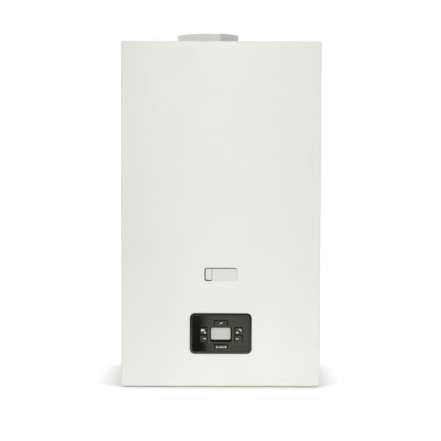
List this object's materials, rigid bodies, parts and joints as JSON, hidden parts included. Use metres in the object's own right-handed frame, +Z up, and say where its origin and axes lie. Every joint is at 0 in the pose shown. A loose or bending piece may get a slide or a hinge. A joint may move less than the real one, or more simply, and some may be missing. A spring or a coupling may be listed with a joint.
{
  "type": "combi boiler",
  "caption": "Wall-hung condensing combi boiler with a white sheet casing, recessed black control panel, top flue collar and working inside.",
  "frame": {"origin": "midway between the wall bracket's two screw holes, in the plane of the wall", "axes": "+Z up, front facing -Y, +X to the right seen from the front"},
  "size_m": [0.4, 0.3315, 0.7196],
  "materials": {
    "white_enamel": "satin powder coat",
    "galvanised_sheet": "spangled zinc",
    "zinc_steel": "bright zinc",
    "stainless": "satin",
    "cast_aluminium": "as cast",
    "white_plastic": "satin",
    "grey_plastic": "satin",
    "black_gloss": "gloss",
    "black_key": "satin",
    "black_plastic": "satin",
    "flue_plastic": "satin",
    "board_green": "solder mask",
    "lcd_grey": "satin",
    "clear_lens": "clear",
    "seal_rubber": "foam",
    "foot_rubber": "matte",
    "membrane_rubber": "matte",
    "hose_rubber": "corrugated",
    "ceramic_fibre": "felted board",
    "electrode_ceramic": "glazed",
    "brass_fitting": "machined",
    "copper_pipe": "drawn",
    "vessel_red": "gloss",
    "red_plastic": "satin",
    "blue_plastic": "satin",
    "lead_red": "silicone"
  },
  "bodies": {
    "casing": {"wall_bracket": "galvanised_sheet", "rear_frame": "galvanised_sheet", "spacer_feet": "foot_rubber", "left_side_panel": "white_enamel", "right_side_panel": "white_enamel", "top_panel": "white_enamel", "base_plate": "galvanised_sheet", "cover_seal": "seal_rubber", "cover_screws": "zinc_steel", "control_tray": "grey_plastic", "main_board": "board_green", "control_bezel": "black_gloss", "display_board": "board_green", "display_lcd": "lcd_grey", "display_lens": "clear_lens", "flue_collar": "galvanised_sheet", "flue_socket": "flue_plastic", "exchanger_shell": "cast_aluminium", "exchanger_coil": "stainless", "burner_door": "cast_aluminium", "door_nuts": "zinc_steel", "burner_tube": "stainless", "door_insulation": "ceramic_fibre", "electrodes": "electrode_ceramic", "fan_housing": "cast_aluminium", "fan_motor": "black_plastic", "venturi": "grey_plastic", "gas_valve": "cast_aluminium", "pipe_tails": "brass_fitting", "gas_pipe": "copper_pipe", "diverter_block": "brass_fitting", "diverter_actuator": "black_plastic", "pump_housing": "brass_fitting", "pump_motor": "grey_plastic", "plate_exchanger": "stainless", "flow_pipe": "copper_pipe", "return_pipe": "copper_pipe", "expansion_vessel": "vessel_red", "vessel_membrane": "membrane_rubber", "vessel_pipe": "copper_pipe", "condensate_trap": "flue_plastic", "condensate_hose": "hose_rubber", "ignition_transformer": "black_plastic", "internal_leads": "lead_red", "cable_gland": "black_plastic"},
    "front_cover": {"front_cover": "white_enamel", "badge_plate": "white_plastic"},
    "key_top": {"key_top": "black_key"},
    "key_bottom": {"key_bottom": "black_key"},
    "key_left_upper": {"key_left_upper": "black_key"},
    "key_left_lower": {"key_left_lower": "black_key"},
    "key_right_upper": {"key_right_upper": "black_key"},
    "key_right_lower": {"key_right_lower": "black_key"},
    "fan_rotor": {"fan_impeller": "black_plastic"},
    "pump_rotor": {"pump_impeller": "black_plastic"},
    "flow_turbine": {"flow_turbine": "blue_plastic"},
    "diverter_spindle": {"diverter_spindle": "stainless"},
    "relief_cap": {"relief_cap": "red_plastic"},
    "fill_knob": {"fill_knob": "blue_plastic"},
    "vent_float": {"vent_float": "flue_plastic"}
  },
  "joints": [
    {"name": "front_cover_pull", "type": "slide", "parent": "casing", "child": "front_cover", "axis": [0, -1, 0], "range_m": [0, 0.36]},
    {"name": "key_top_press", "type": "slide", "parent": "casing", "child": "key_top", "axis": [0, 1, 0], "range_m": [0, 0.001], "stiffness_N_per_m": 800},
    {"name": "key_bottom_press", "type": "slide", "parent": "casing", "child": "key_bottom", "axis": [0, 1, 0], "range_m": [0, 0.001], "stiffness_N_per_m": 800},
    {"name": "key_left_upper_press", "type": "slide", "parent": "casing", "child": "key_left_upper", "axis": [0, 1, 0], "range_m": [0, 0.001], "stiffness_N_per_m": 800},
    {"name": "key_left_lower_press", "type": "slide", "parent": "casing", "child": "key_left_lower", "axis": [0, 1, 0], "range_m": [0, 0.001], "stiffness_N_per_m": 800},
    {"name": "key_right_upper_press", "type": "slide", "parent": "casing", "child": "key_right_upper", "axis": [0, 1, 0], "range_m": [0, 0.001], "stiffness_N_per_m": 800},
    {"name": "key_right_lower_press", "type": "slide", "parent": "casing", "child": "key_right_lower", "axis": [0, 1, 0], "range_m": [0, 0.001], "stiffness_N_per_m": 800},
    {"name": "fan_spin", "type": "hinge", "parent": "casing", "child": "fan_rotor", "pos_m": [0.021, -0.255, -0.325], "axis": [0, -1, 0], "continuous": true},
    {"name": "pump_spin", "type": "hinge", "parent": "casing", "child": "pump_rotor", "pos_m": [0.13, -0.22, -0.48], "axis": [0, -1, 0], "continuous": true},
    {"name": "flow_turbine_spin", "type": "hinge", "parent": "casing", "child": "flow_turbine", "pos_m": [0.065, -0.135, -0.582], "axis": [0, 0, 1], "continuous": true},
    {"name": "diverter_shift", "type": "slide", "parent": "casing", "child": "diverter_spindle", "axis": [0, 0, 1], "range_m": [0, 0.006]},
    {"name": "relief_cap_turn", "type": "hinge", "parent": "casing", "child": "relief_cap", "pos_m": [-0.18, -0.185, -0.52], "axis": [-1, 0, 0], "range_deg": [0, 90]},
    {"name": "fill_knob_turn", "type": "hinge", "parent": "casing", "child": "fill_knob", "pos_m": [0.0975, -0.185, -0.62], "axis": [0, 0, -1], "range_deg": [0, 90]},
    {"name": "vent_float_rise", "type": "slide", "parent": "casing", "child": "vent_float", "axis": [0, 0, 1], "range_m": [0, 0.01]}
  ]
}
